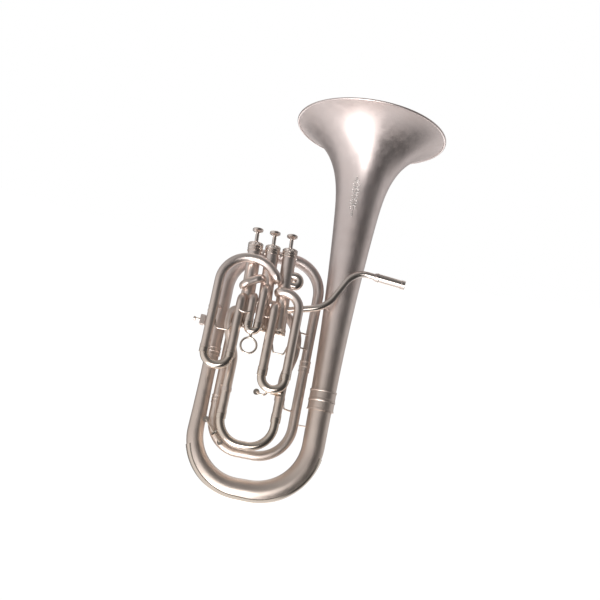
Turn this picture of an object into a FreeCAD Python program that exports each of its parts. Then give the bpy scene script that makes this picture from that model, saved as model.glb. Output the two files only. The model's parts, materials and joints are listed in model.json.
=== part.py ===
import FreeCAD, Part
import math
import os
import re

import Sketcher

V = FreeCAD.Vector

# A three-valve baritone horn in B flat. Millimetres. +Z runs up the horn, +X runs from the valves
# towards the bell, and -Y is the side that carries the valve slides. The origin is under the
# middle of the horn, at the level of the lowest point of the bottom bow. The parts are drawn about
# the bell's axis, and each part's Placement then sets that axis out from the origin.

DIMENSIONS = {
    "bell_axis_x": 44.9,
    # bell: outer radius of the sheet at each height
    "bell_wall": 0.7,
    "bell_joint_z": 163.0, "bell_joint_radius": 18.1,
    "bell_throat_z": 285.0, "bell_throat_radius": 21.8,
    "bell_body_z": 364.0, "bell_body_radius": 26.4,
    "bell_waist_z": 440.0, "bell_waist_radius": 32.3,
    "bell_neck_z": 493.0, "bell_neck_radius": 40.2,
    "bell_turn_z": 520.0, "bell_turn_radius": 49.6,
    "bell_flare_z": 546.0, "bell_flare_radius": 66.0,
    "bell_lip_z": 568.5, "bell_lip_radius": 91.0,
    "rim_radius": 115.5, "rim_z": 583.0, "rim_wire_radius": 1.7,
    # bell ferrule
    "bell_ferrule_bore": 18.5, "bell_ferrule_radius": 18.95, "bell_ferrule_bead": 19.6,
    "bell_ferrule_length": 30.0, "bell_ferrule_bead_width": 2.4,
    # bottom bow
    "left_leg_x": 168.8, "bow_line_z": 16.12, "leg_joint_z": 201.0,
    "bottom_bow_left_bend": 72.0, "bottom_bow_right_bend": 79.0,
    "left_leg_top_radius": 10.5, "left_leg_low_radius": 11.6,
    "bottom_bow_radius": 14.8, "bell_leg_radius": 16.3, "bow_joint_radius": 17.1,
    "bow_wall": 0.8,
    "guard_gap": 0.05, "guard_wall": 0.9, "guard_left_angle": 68.0,
    "guard_right_angle": 77.0,
    # top bow, and the inner leg that runs down from it into the middle bow
    "top_bow_z": 357.8, "inner_leg_top_x": 33.3, "inner_leg_low_x": 34.0,
    "top_bow_right_bend": 48.0, "top_bow_left_bend": 60.0,
    "inner_leg_joint_z": 204.0, "top_bow_start_radius": 7.1, "top_bow_rise_radius": 7.8,
    "top_bow_apex_radius": 9.1, "top_bow_end_radius": 10.9,
    # middle bow
    "middle_bow_z": 65.3, "middle_leg_x": 148.0, "middle_leg_joint_z": 134.0,
    "middle_bow_right_bend": 49.0, "middle_bow_left_bend": 44.0,
    "middle_bow_start_radius": 7.3, "middle_bow_radius": 7.1, "middle_bow_end_radius": 7.0,
    "branch_wall": 0.7,
    # inner top bow
    "inner_bow_z": 279.5, "inner_bow_bend": 48.0, "inner_bow_right_x": 51.5, "inner_bow_y": 6.0,
    "swan_bend": 40.0, "swan_top_z": 216.0, "swan_low_z": 180.0, "branch_radius": 6.9,
    # main tuning slide
    "tuning_y": 22.0, "tuning_right_x": 60.0, "tuning_left_x": 136.5,
    "tuning_top_z": 148.0, "tuning_right_end_z": 121.0, "tuning_left_end_z": 113.0,
    "tuning_line_z": 74.9, "tuning_bend": 34.0, "tuning_leg_length": 25.0,
    # slide tubing
    "sleeve_radius": 6.7, "sleeve_bore": 6.2, "slide_radius": 6.15, "slide_bore": 5.65,
    "ferrule_radius": 7.2, "ferrule_length": 5.0, "collar_length": 7.0, "sleeve_gap": 0.3,
    "elbow_bend": 9.0, "outer_elbow_bend": 7.4, "slides_y": 47.0, "casing_bite": 4.0,
    # first valve slide
    "first_left_x": 91.0, "first_right_x": 57.5, "first_elbow_z": 276.0, "first_arc_z": 296.0,
    "first_arc_bend": 23.8, "first_end_z": 180.0, "first_leg_length": 58.0,
    "first_slide_straight": 7.0,
    # second valve slide
    "second_sleeve_radius": 6.2, "second_sleeve_bore": 5.65,
    "second_slide_radius": 5.6, "second_slide_bore": 5.15, "second_ferrule_radius": 6.7,
    "second_left_x": 124.4, "second_right_x": 110.2, "second_left_elbow_z": 283.0,
    "second_right_elbow_z": 298.0, "second_end_z": 244.5, "second_leg_length": 24.0,
    "second_slide_straight": 5.2,
    "pull_ring_radius": 11.2, "pull_ring_wire": 1.5, "pull_ring_lug": 2.8,
    # third valve slide
    "third_left_x": 176.8, "third_right_x": 140.0, "third_arc_z": 336.8, "third_arc_bend": 40.0,
    "third_crest_x": 118.0, "third_crest_bend": 36.0, "third_exit_x": 95.0,
    "third_exit_z": 313.6, "third_elbow_z": 279.0, "third_end_z": 196.0,
    "third_leg_length": 55.0, "third_slide_straight": 2.0, "third_upper_ring": 52.0,
    "third_lower_ring": 58.5,
    # outlet from the third valve to the main tuning slide
    "outlet_z": 262.0, "outlet_start_x": 137.0, "outlet_x": 152.0, "outlet_bend": 10.0,
    "outlet_turn_z": 236.0, "outlet_swan_z": 195.0,
    # valve block: three casings that lean a little towards the left
    "valve_x": 80.3, "valve_y": 28.0, "valve_z": 236.0, "valve_pitch": 25.5, "valve_lean": 2.7,
    "casing_radius": 10.0, "casing_bore": 8.75, "casing_low": 4.0, "casing_high": 122.0,
    "cap_radius": 11.2, "cap_groove_radius": 10.6, "bottom_cap_height": 9.0, "cap_wall": 1.2,
    "top_cap_low": 116.0, "top_cap_high": 129.5, "cap_boss_radius": 4.6, "cap_boss_high": 130.1,
    "stem_hole": 2.87,
    "piston_radius": 8.7, "piston_low": 28.0, "piston_high": 110.0, "piston_port": 5.4,
    "port_height": 43.0, "port_step": 19.0, "piston_well": 3.4,
    "stem_radius": 2.8, "stem_foot_radius": 5.2, "stem_foot_height": 3.0,
    "button_radius": 7.9, "button_low": 144.4, "button_edge": 147.8, "button_high": 151.4,
    "button_neck": 4.2, "button_screw": 1.5, "felt_bore": 3.4, "felt_radius": 7.4,
    "felt_height": 1.8, "stem_collar_radius": 5.0, "stem_collar_height": 1.5,
    "spring_radius": 5.6, "spring_wire": 0.45, "spring_turns": 7.0, "spring_seat": 1.4,
    "knuckle_radius": 6.5, "knuckle_bore": 5.9,
    # compensating tubing
    "loop_radius": 6.5, "loop_bore": 5.9, "loop_x": 64.8, "loop_z": 319.3, "loop_bend": 7.1,
    "cross_tube_radius": 6.0, "cross_tube_bore": 5.4, "cross_tube_y": 45.6,
    "cross_left_x": 142.5, "cross_left_z": 296.5, "cross_right_x": 118.5, "cross_right_z": 311.0,
    "cross_bend": 7.2,
    # leadpipe and receiver
    "leadpipe_valve_radius": 4.9, "leadpipe_radius": 4.7, "leadpipe_end_radius": 4.8,
    "leadpipe_wall": 0.6, "leadpipe_low_bend": 45.0, "leadpipe_high_bend": 30.0,
    "leadpipe_start_x": 76.0, "leadpipe_start_z": 274.6, "leadpipe_low_x": 20.4,
    "leadpipe_low_y": 30.5, "leadpipe_low_z": 289.6, "leadpipe_peak_reach": 32.2,
    "receiver_x": 44.0, "receiver_z": 347.3, "receiver_droop": 5.2, "receiver_y": 33.0,
    "receiver_length": 42.5, "receiver_radius": 6.35, "receiver_ring_radius": 6.95,
    "receiver_bore": 5.5, "receiver_mouth": 6.0, "receiver_ring_length": 5.0,
    # wires, water keys and the lyre socket
    "brace_radius": 1.2, "brace_bend": 4.0, "brace_drop": 12.0, "brace_bite": 5.9,
    "slide_tie_z": 258.0, "slide_tie_sag": 4.0,
    "first_brace_z": 219.5, "third_brace_z": 239.0, "swan_brace_z": 240.0, "swan_tie_rise": 10.0,
    "tuning_brace_z": 148.4, "bow_tie_z": 119.5, "third_post_z": 264.0, "top_post_height": 111.0,
    "valve_post_z": 279.5, "outlet_tie_z": 155.0, "foot_x": 20.0, "foot_y": 28.0, "foot_z": 290.0,
    "leadpipe_post_x": 19.5, "leadpipe_post_y": 30.5, "leadpipe_post_z": 349.0,
    "key_bar_radius": 1.5, "key_pad_radius": 4.2, "key_cork_radius": 3.6,
    "key_cork_height": 1.5, "key_cup_height": 1.6, "key_screw_radius": 0.9,
    "key_screw_head_radius": 1.7, "key_barrel_radius": 2.2, "key_barrel_half": 3.1,
    "key_ear_wall": 1.1, "key_clearance": 0.06, "key_touch_radius": 4.4, "key_touch_height": 1.4,
    "nipple_radius": 3.0, "nipple_bore": 1.5, "key_lift": 5.0,
    "key_bar_bend": 4.0, "key_gap": 1.3, "key_bridge_gap": 1.6, "key_spring_wire": 0.3,
    "key_spring_pitch": 0.68, "key_spring_gap": 0.25,
    "swan_key_z": 155.0, "swan_key_arm": 12.0, "swan_key_neck": 5.5, "swan_key_dip": 6.5,
    "swan_key_touch_drop": 4.0,
    "bow_key_arm": 15.8, "bow_key_reach": 44.4, "bow_key_angle": 37.5, "key_touch_reach": 22.0,
    "lyre_x": 191.5, "lyre_y": 8.0, "lyre_z": 242.0, "lyre_width": 8.0, "lyre_height": 15.0,
    "lyre_hole": 2.4, "lyre_screw_radius": 1.9, "lyre_head_radius": 3.3, "lyre_head_length": 3.6,
}

doc = FreeCAD.newDocument("BaritoneHorn")
sheet = doc.addObject("Spreadsheet::Sheet", "Dimensions")
for row, (alias, value) in enumerate(DIMENSIONS.items(), start=1):
    sheet.set("A%d" % row, alias)
    sheet.set("B%d" % row, str(value))
    sheet.setAlias("B%d" % row, alias)
doc.recompute()

SUBPARTS = []


def size(text):
    """Write aliases as references to the sheet."""
    return re.sub(r"[a-z_]+[a-z]", lambda word: "Dimensions." + word.group(0), text)


def mm(text):
    """Work a sum of aliases out in millimetres."""
    return float(sheet.evalExpression(size(text)))


BELL_AXIS = FreeCAD.Placement(V(mm("bell_axis_x"), 0, 0), FreeCAD.Rotation())


def keep(label, piece):
    """Make a finished object a sub-part: its label names its file, and it moves to its place."""
    piece.Label = label
    piece.Placement = BELL_AXIS.multiply(piece.Placement)
    SUBPARTS.append(piece)
    return piece


# --- curves -------------------------------------------------------------------------------------

def bent_wire(corners, bends):
    """Straight runs through the corners, each corner rounded by an arc of its bend radius."""
    edges = []
    here = corners[0]
    for before, corner, after, bend in zip(corners, corners[1:], corners[2:], bends):
        back = (before - corner).normalize()
        ahead = (after - corner).normalize()
        half = back.getAngle(ahead) / 2
        run = bend / math.tan(half)
        start = corner + back * run
        end = corner + ahead * run
        crown = corner + (back + ahead).normalize() * (bend / math.sin(half) - bend)
        if (start - here).Length > 1e-6:
            edges.append(Part.makeLine(here, start))
        edges.append(Part.Arc(start, crown, end).toShape())
        here = end
    if (corners[-1] - here).Length > 1e-6:
        edges.append(Part.makeLine(here, corners[-1]))
    return Part.Wire(edges)


def spine(name, corners, bends=()):
    """The centre line of a tube or a wire."""
    line = doc.addObject("Part::Feature", name)
    line.Shape = bent_wire(corners, bends)
    return line


def direction_at(wire, number):
    """The wire's direction at one of its vertices."""
    edges = wire.OrderedEdges
    edge = edges[min(number, len(edges) - 1)]
    point = wire.OrderedVertexes[number].Point
    return edge.tangentAt(edge.Curve.parameter(point)) * (
        1 if edge.Orientation == "Forward" else -1)


def round_section(name, line, number, radius):
    """A circle across the centre line at one of its vertices."""
    section = doc.addObject("Part::Circle", name)
    section.setExpression("Radius", size(radius))
    across = FreeCAD.Rotation(V(0, 0, 1), direction_at(line.Shape, number))
    section.Placement = FreeCAD.Placement(line.Shape.OrderedVertexes[number].Point, across)
    return section


def rod(name, line, radii):
    """A solid swept along a centre line, with a round section at each vertex that has a radius."""
    sections = [round_section("%s_section_%d" % (name, number), line, number, radius)
                for number, radius in enumerate(radii) if radius]
    sweep = doc.addObject("Part::Sweep", name)
    sweep.Sections = sections
    sweep.Spine = (line, [])
    sweep.Solid = True
    sweep.Frenet = False
    return sweep


def difference(name, base, tool):
    cut = doc.addObject("Part::Cut", name)
    cut.Base = base
    cut.Tool = tool
    return cut


def joined(name, pieces):
    """Pieces that overlap and become one solid."""
    fuse = doc.addObject("Part::MultiFuse", name)
    fuse.Shapes = pieces
    return fuse


def group(name, pieces):
    """Separate solids that share one sub-part."""
    compound = doc.addObject("Part::Compound", name)
    compound.Links = pieces
    return compound


class Tube:
    """A hollow tube: its outside as a solid, its bore as a solid, and the wall between them."""

    def __init__(self, name, corners, bends, radii, wall):
        line = spine(name + "_line", corners, bends)
        inner = ["%s - %s" % (radius, wall) if radius else None for radius in radii]
        self.outside = rod(name + "_outside", line, radii)
        self.bore = rod(name + "_bore", line, inner)
        self.wall = difference(name + "_wall", self.outside, self.bore)


def upright_cylinder(name, base, radius, length):
    cylinder = doc.addObject("Part::Cylinder", name)
    cylinder.setExpression("Radius", size(radius))
    cylinder.setExpression("Height", size(length))
    cylinder.Placement = base if isinstance(base, FreeCAD.Placement) else \
        FreeCAD.Placement(base, FreeCAD.Rotation())
    return cylinder


def ring_on(name, placement, bore, radius, length):
    """A plain collar around a tube."""
    outside = upright_cylinder(name + "_outside", placement, radius, length)
    bore_tool = upright_cylinder(name + "_hole", placement, bore, length)
    return difference(name, outside, bore_tool)


def aimed(point, direction):
    """A placement at a point with its own Z axis along a direction."""
    return FreeCAD.Placement(point, FreeCAD.Rotation(V(0, 0, 1), direction))


# --- turned pieces ------------------------------------------------------------------------------

def origin_plane(body, role):
    return next(feature for feature in body.Origin.OriginFeatures if feature.Role == role)


def turned(name, outline, placement):
    """A turned piece: a closed outline of radius and height, revolved about its own Z axis."""
    body = doc.addObject("PartDesign::Body", name)
    sketch = body.newObject("Sketcher::SketchObject", name + "_outline")
    sketch.AttachmentSupport = (origin_plane(body, "XZ_Plane"), [""])
    sketch.MapMode = "FlatFace"
    points = [V(mm(radius), mm(height), 0) for radius, height in outline]
    for start, end in zip(points, points[1:] + points[:1]):
        sketch.addGeometry(Part.LineSegment(start, end))
    count = len(outline)
    for number, (radius, height) in enumerate(outline):
        sketch.addConstraint(Sketcher.Constraint(
            "Coincident", (number - 1) % count, 2, number, 1))
        for kind, axis, expression, value in (
                ("DistanceX", -2, radius, points[number].x),
                ("DistanceY", -1, height, points[number].y)):
            if abs(value) < 1e-9:
                sketch.addConstraint(Sketcher.Constraint("PointOnObject", number, 1, axis))
            else:
                index = sketch.addConstraint(
                    Sketcher.Constraint(kind, -1, 1, number, 1, value))
                sketch.setExpression("Constraints[%d]" % index, size(expression))
    revolution = body.newObject("PartDesign::Revolution", name + "_turning")
    revolution.Profile = sketch
    revolution.ReferenceAxis = (sketch, ["V_Axis"])
    revolution.Angle = 360.0
    sketch.Visibility = False
    body.Placement = placement
    return body


# --- bell ---------------------------------------------------------------------------------------

def bell():
    names = ("joint", "throat", "body", "waist", "neck", "turn", "flare", "lip")
    outer = [V(mm("bell_%s_radius" % name), 0, mm("bell_%s_z" % name)) for name in names]
    lip = V(mm("rim_radius - 2 * rim_wire_radius"), 0, mm("rim_z - rim_wire_radius - 1.1"))
    outside = Part.BSplineCurve()
    outside.interpolate(outer + [lip])
    steps = 24
    first, last = outside.FirstParameter, outside.LastParameter
    inner = []
    for step in range(steps + 1):
        at = first + (last - first) * step / steps
        along = outside.tangent(at)[0]
        inner.append(outside.value(at) + V(-along.z, 0, along.x) * mm("bell_wall"))
    inside = Part.BSplineCurve()
    inside.interpolate(inner)
    edges = [outside.toShape(), Part.makeLine(outer[0], inner[0]), inside.toShape(),
             Part.makeLine(lip, inner[-1])]
    face = Part.Face(Part.Wire(Part.__sortEdges__(edges)))
    piece = doc.addObject("Part::Feature", "bell_sheet")
    piece.Shape = face.revolve(V(), V(0, 0, 1), 360)
    return piece


def rim_wire(name):
    ring = doc.addObject("Part::Torus", name)
    ring.setExpression("Radius1", size("rim_radius - rim_wire_radius"))
    ring.setExpression("Radius2", size("rim_wire_radius"))
    ring.Placement.Base = V(0, 0, mm("rim_z - rim_wire_radius"))
    return ring


keep("bell", difference("bell_trimmed", bell(), rim_wire("rim_seat")))
keep("bell_rim_wire", rim_wire("rim_ring"))


def bell_ferrule():
    bead = "bell_ferrule_bead_width"
    half = "bell_ferrule_length / 2"
    step = "bell_ferrule_length * 0.6"
    outline = [("bow_joint_radius + 0.1", "0"), ("bell_ferrule_bead", "0"),
               ("bell_ferrule_bead", bead),
               ("bell_ferrule_radius", bead + " * 1.3"),
               ("bell_ferrule_radius", "%s - %s" % (half, bead)),
               ("bell_ferrule_bead", "%s - %s / 2" % (half, bead)),
               ("bell_ferrule_bead", "%s + %s / 2" % (half, bead)),
               ("bell_ferrule_radius", "%s + %s" % (half, bead)),
               ("bell_ferrule_radius", "bell_ferrule_length - %s * 1.3" % bead),
               ("bell_ferrule_bead", "bell_ferrule_length - " + bead),
               ("bell_ferrule_bead", "bell_ferrule_length"),
               ("bell_ferrule_bore", "bell_ferrule_length"), ("bell_ferrule_bore", step),
               ("bow_joint_radius + 0.1", step)]
    low = mm("bell_joint_z - bell_ferrule_length * 0.6")
    return turned("bell_ferrule_body", outline, FreeCAD.Placement(V(0, 0, low), FreeCAD.Rotation()))


keep("bell_ferrule", bell_ferrule())

# --- bows ---------------------------------------------------------------------------------------

BOTTOM_CORNERS = [V(-mm("left_leg_x"), 0, mm("leg_joint_z")),
                  V(-mm("left_leg_x"), 0, mm("bow_line_z")),
                  V(0, 0, mm("bow_line_z")),
                  V(0, 0, mm("bell_joint_z"))]
BOTTOM_BENDS = [mm("bottom_bow_left_bend"), mm("bottom_bow_right_bend")]
BOTTOM_RADII = ["left_leg_top_radius", "left_leg_low_radius", "bottom_bow_radius", None,
                "bell_leg_radius", "bow_joint_radius"]
bottom_bow = Tube("bottom_bow", BOTTOM_CORNERS, BOTTOM_BENDS, BOTTOM_RADII, "bow_wall")
keep("bottom_bow", bottom_bow.wall)


def inner_leg_x(height):
    """The inner leg leans: its X at a height."""
    drop = (mm("top_bow_z") - height) / mm("top_bow_z - middle_bow_z")
    return -mm("inner_leg_top_x") - drop * mm("inner_leg_low_x - inner_leg_top_x")


inner_joint = V(inner_leg_x(mm("inner_leg_joint_z")), 0, mm("inner_leg_joint_z"))
top_bow = Tube(
    "top_bow",
    [inner_joint, V(-mm("inner_leg_top_x"), 0, mm("top_bow_z")),
     V(-mm("left_leg_x"), 0, mm("top_bow_z")), V(-mm("left_leg_x"), 0, mm("leg_joint_z"))],
    [mm("top_bow_right_bend"), mm("top_bow_left_bend")],
    ["top_bow_start_radius", "top_bow_rise_radius", "top_bow_apex_radius", None,
     "top_bow_end_radius", "left_leg_top_radius"], "branch_wall")
keep("top_bow", top_bow.wall)

middle_bow = Tube(
    "middle_bow",
    [inner_joint, V(-mm("inner_leg_low_x"), 0, mm("middle_bow_z")),
     V(-mm("middle_leg_x"), 0, mm("middle_bow_z")),
     V(-mm("middle_leg_x"), 0, mm("middle_leg_joint_z"))],
    [mm("middle_bow_right_bend"), mm("middle_bow_left_bend")],
    ["top_bow_start_radius", "middle_bow_start_radius", "middle_bow_radius", None,
     "middle_bow_end_radius", "middle_bow_end_radius"], "branch_wall")

inner_bow = Tube(
    "inner_bow",
    [V(-mm("middle_leg_x"), 0, mm("middle_leg_joint_z")),
     V(-mm("middle_leg_x"), 0, mm("inner_bow_z")),
     V(-mm("inner_bow_right_x"), -mm("inner_bow_y"), mm("inner_bow_z")),
     V(-mm("inner_bow_right_x"), -mm("inner_bow_y"), mm("swan_top_z")),
     V(-mm("tuning_right_x"), -mm("tuning_y"), mm("swan_low_z")),
     V(-mm("tuning_right_x"), -mm("tuning_y"), mm("tuning_top_z"))],
    [mm("inner_bow_bend"), mm("inner_bow_bend"), mm("swan_bend"), mm("swan_bend")],
    ["branch_radius"], "branch_wall")


def bow_guard():
    """A thin plate that wraps the outside of the bottom bow where the horn is set down."""
    line = spine("guard_line", BOTTOM_CORNERS, BOTTOM_BENDS)
    outer_radii = [radius and radius + " + guard_gap + guard_wall" for radius in BOTTOM_RADII]
    inner_radii = [radius and radius + " + guard_gap" for radius in BOTTOM_RADII]
    sleeve = difference("guard_sleeve", rod("guard_outside", line, outer_radii),
                        rod("guard_inside", line, inner_radii))
    left = mm("left_leg_x") / 2
    centre = V(-left, 0, mm("bow_line_z") + left)
    reach = mm("left_leg_x")
    width = mm("bottom_bow_radius") * 0.75
    sides = [FreeCAD.Rotation(V(0, 1, 0), turn).multVec(V(0, 0, -reach))
             for turn in (mm("guard_left_angle"), -mm("guard_right_angle"))]
    fan = Part.makePolygon([centre, centre + sides[0], centre + sides[0] + V(0, 0, -reach),
                            centre + sides[1] + V(0, 0, -reach), centre + sides[1], centre])
    wedge = doc.addObject("Part::Feature", "guard_wedge")
    wedge.Shape = Part.Face(fan).extrude(V(0, 2 * width, 0)).translated(V(0, -width, 0))
    hollow = doc.addObject("Part::Feature", "guard_hollow")
    hollow.Shape = bent_wire_slab(BOTTOM_CORNERS, BOTTOM_BENDS, 2 * width)
    strip = doc.addObject("Part::Common", "guard_strip")
    strip.Base = sleeve
    strip.Tool = wedge
    return difference("guard_plate", strip, hollow)


def bent_wire_slab(corners, bends, width):
    """A slab across the whole width whose edge is the centre line: it fills the bow's inside."""
    wire = bent_wire(corners, bends)
    ends = [wire.OrderedVertexes[0].Point, wire.OrderedVertexes[-1].Point]
    closed = Part.Wire(list(wire.OrderedEdges) + [Part.makeLine(ends[1], V(ends[1].x, 0, ends[0].z)),
                                                 Part.makeLine(V(ends[1].x, 0, ends[0].z), ends[0])])
    return Part.Face(closed).extrude(V(0, width, 0)).translated(V(0, -width / 2, 0))


keep("bow_guard", bow_guard())

# --- valve block --------------------------------------------------------------------------------

LEAN = FreeCAD.Rotation(V(0, 1, 0), -mm("valve_lean"))


def valve_placement(number):
    """The frame of valve 1, 2 or 3: its own +Z runs up the casing from the bottom cap."""
    along = V(-mm("valve_pitch") * (number - 1) / math.cos(math.radians(mm("valve_lean"))), 0, 0)
    base = V(-mm("valve_x"), -mm("valve_y"), mm("valve_z"))
    return FreeCAD.Placement(base + along, LEAN)


def valve_point(number, height):
    """A point on a valve's axis at a height above its bottom cap."""
    return valve_placement(number).multVec(V(0, 0, height))


VALVES = (1, 2, 3)
casing_outlines = {number: upright_cylinder(
    "casing_envelope_%d" % number, valve_placement(number).multiply(
        FreeCAD.Placement(V(0, 0, mm("casing_low")), FreeCAD.Rotation())),
    "casing_radius", "casing_high - casing_low") for number in VALVES}

# --- slides -------------------------------------------------------------------------------------

SLEEVE_WALL = "(sleeve_radius - sleeve_bore)"
SLIDE_WALL = "(slide_radius - slide_bore)"
SECOND_SLEEVE_WALL = "(second_sleeve_radius - second_sleeve_bore)"
SECOND_SLIDE_WALL = "(second_slide_radius - second_slide_bore)"


def u_slide(name, left, right, bend, line_z, collar_z, leg, radius, wall, collar_radius):
    """A U-shaped crook with a collar at each end, and the two legs that run up from it."""
    corners = [V(left.x, left.y, collar_z[0]), V(left.x, left.y, line_z),
               V(right.x, right.y, line_z), V(right.x, right.y, collar_z[1])]
    crook = Tube(name + "_crook", corners, [bend, bend], [radius], wall)
    collars = []
    legs = []
    for side, place, top in (("left", left, collar_z[0]), ("right", right, collar_z[1])):
        low = V(place.x, place.y, top - mm("collar_length"))
        collars.append(ring_on("%s_collar_%s" % (name, side),
                               FreeCAD.Placement(low, FreeCAD.Rotation()),
                               "%s - %s / 2" % (radius, wall), collar_radius, "collar_length"))
        start = V(place.x, place.y, top)
        legs.append(Tube("%s_leg_%s" % (name, side), [start, start + V(0, 0, mm(leg))], (),
                         [radius], wall).wall)
    keep(name + "_crook", joined(name + "_crook_joined", [crook.wall] + collars))
    keep(name + "_legs", group(name + "_legs_group", legs))


elbow = mm("elbow_bend")
slides_y = -mm("slides_y")
casing_reach = -mm("valve_y + casing_radius - casing_bite")


def slide_run(name, corners, bends, radius="sleeve_radius", wall=SLEEVE_WALL):
    return Tube(name, corners, bends, [radius], wall)


first_end = mm("first_end_z + sleeve_gap")
first_left = slide_run("first_left", [
    V(-mm("first_left_x"), slides_y, first_end),
    V(-mm("first_left_x"), slides_y, mm("first_elbow_z")),
    V(-mm("first_left_x") + 2, casing_reach, mm("first_elbow_z"))], [elbow])
first_right = slide_run("first_right", [
    V(-mm("first_right_x"), slides_y, first_end),
    V(-mm("first_right_x"), slides_y, mm("first_arc_z")),
    V(-mm("first_left_x"), slides_y, mm("first_arc_z")),
    V(-mm("first_left_x") + 1, casing_reach, mm("first_arc_z"))],
    [mm("first_arc_bend"), mm("outer_elbow_bend")])

second_end = mm("second_end_z + sleeve_gap")
second_left = slide_run("second_left", [
    V(-mm("second_left_x"), slides_y, second_end),
    V(-mm("second_left_x"), slides_y, mm("second_left_elbow_z")),
    V(-mm("second_left_x"), casing_reach, mm("second_left_elbow_z"))],
    [elbow], "second_sleeve_radius", SECOND_SLEEVE_WALL)
second_right = slide_run("second_right", [
    V(-mm("second_right_x"), slides_y, second_end),
    V(-mm("second_right_x"), slides_y, mm("second_right_elbow_z")),
    V(-mm("second_right_x"), casing_reach, mm("second_right_elbow_z"))],
    [elbow], "second_sleeve_radius", SECOND_SLEEVE_WALL)

third_end = mm("third_end_z + sleeve_gap")
third_left = slide_run("third_left", [
    V(-mm("third_left_x"), slides_y, third_end),
    V(-mm("third_left_x"), slides_y, mm("third_arc_z")),
    V(-mm("third_crest_x"), slides_y, mm("third_arc_z")),
    V(-mm("third_exit_x"), slides_y, mm("third_exit_z")),
    V(-mm("third_exit_x"), casing_reach, mm("third_exit_z"))],
    [mm("third_arc_bend"), mm("third_crest_bend"), mm("outer_elbow_bend")])
third_right = slide_run("third_right", [
    V(-mm("third_right_x"), slides_y, third_end),
    V(-mm("third_right_x"), slides_y, mm("third_elbow_z")),
    V(-mm("third_right_x") + 2, casing_reach, mm("third_elbow_z"))], [elbow])

outlet = slide_run("outlet", [
    V(-mm("outlet_start_x"), -mm("valve_y"), mm("outlet_z")),
    V(-mm("outlet_x"), -mm("valve_y"), mm("outlet_z")),
    V(-mm("outlet_x"), -mm("valve_y"), mm("outlet_turn_z")),
    V(-mm("tuning_left_x"), -mm("tuning_y"), mm("outlet_swan_z")),
    V(-mm("tuning_left_x"), -mm("tuning_y"), mm("tuning_top_z"))],
    [mm("outlet_bend"), mm("swan_bend"), mm("swan_bend")], "branch_radius", "branch_wall")

tuning_left = slide_run("tuning_left", [
    V(-mm("tuning_left_x"), -mm("tuning_y"), mm("tuning_left_end_z + sleeve_gap")),
    V(-mm("tuning_left_x"), -mm("tuning_y"), mm("tuning_top_z"))], ())
tuning_right = slide_run("tuning_right", [
    V(-mm("tuning_right_x"), -mm("tuning_y"), mm("tuning_right_end_z + sleeve_gap")),
    V(-mm("tuning_right_x"), -mm("tuning_y"), mm("tuning_top_z"))], ())
keep("tuning_sleeves", group("tuning_sleeve_group", [tuning_left.wall, tuning_right.wall]))

u_slide("tuning_slide", V(-mm("tuning_left_x"), -mm("tuning_y"), 0),
        V(-mm("tuning_right_x"), -mm("tuning_y"), 0), mm("tuning_bend"), mm("tuning_line_z"),
        (mm("tuning_left_end_z"), mm("tuning_right_end_z")), "tuning_leg_length",
        "slide_radius", SLIDE_WALL, "ferrule_radius")


def valve_slide(name, left_x, right_x, end_z, straight, leg, radius, wall, collar_radius):
    """One of the three valve slides: a half-round crook below two collars at one height."""
    bend = (mm(left_x) - mm(right_x)) / 2
    end = mm(end_z)
    u_slide(name, V(-mm(left_x), slides_y, 0), V(-mm(right_x), slides_y, 0), bend,
            end - mm(straight) - bend, (end, end), leg, radius, wall, collar_radius)


valve_slide("first_slide", "first_left_x", "first_right_x", "first_end_z",
            "first_slide_straight", "first_leg_length", "slide_radius", SLIDE_WALL, "ferrule_radius")
valve_slide("second_slide", "second_left_x", "second_right_x", "second_end_z",
            "second_slide_straight", "second_leg_length", "second_slide_radius",
            SECOND_SLIDE_WALL, "second_ferrule_radius")
valve_slide("third_slide", "third_left_x", "third_right_x", "third_end_z",
            "third_slide_straight", "third_leg_length", "slide_radius", SLIDE_WALL, "ferrule_radius")


def pull_ring():
    """The ring soldered under the second slide's crook."""
    low = mm("second_end_z - second_slide_straight - (second_left_x - second_right_x) / 2")
    middle = (mm("second_left_x") + mm("second_right_x")) / 2
    ring = doc.addObject("Part::Torus", "pull_ring_torus")
    ring.setExpression("Radius1", size("pull_ring_radius"))
    ring.setExpression("Radius2", size("pull_ring_wire"))
    drop = mm("second_slide_radius + pull_ring_radius + pull_ring_wire + pull_ring_lug")
    ring.Placement = aimed(V(-middle, slides_y, low - drop), V(0, 1, 0))
    lug = upright_cylinder("pull_ring_lug", V(-middle, slides_y, low - drop + mm("pull_ring_radius")),
                           "pull_ring_wire * 1.5", "pull_ring_lug + second_slide_radius")
    return difference("pull_ring_trimmed", joined("pull_ring_solid", [ring, lug]),
                      doc.getObject("second_slide_crook_outside"))


keep("second_slide_ring", pull_ring())

# --- compensating tubing, knuckles, leadpipe ----------------------------------------------------

loop_half = mm("loop_bend")
loop = slide_run("loop", [
    V(-mm("valve_x"), -mm("valve_y"), mm("loop_z") - loop_half),
    V(-mm("loop_x"), -mm("valve_y"), mm("loop_z") - loop_half),
    V(-mm("loop_x"), -mm("valve_y"), mm("loop_z") + loop_half),
    V(-mm("valve_x"), -mm("valve_y"), mm("loop_z") + loop_half)],
    [loop_half, loop_half], "loop_radius", "(loop_radius - loop_bore)")
cross_y = -mm("cross_tube_y")
cross_left = mm("cross_left_x")
cross_right = mm("cross_right_x")
cross = slide_run("cross", [
    V(0.5 - cross_left, casing_reach, mm("cross_left_z")),
    V(-0.5 - cross_left, cross_y, mm("cross_left_z")),
    V(-0.5 - cross_right, cross_y, mm("cross_right_z")),
    V(0.5 - cross_right, casing_reach, mm("cross_right_z"))],
    [mm("cross_bend"), mm("cross_bend")], "cross_tube_radius",
    "(cross_tube_radius - cross_tube_bore)")

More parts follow.
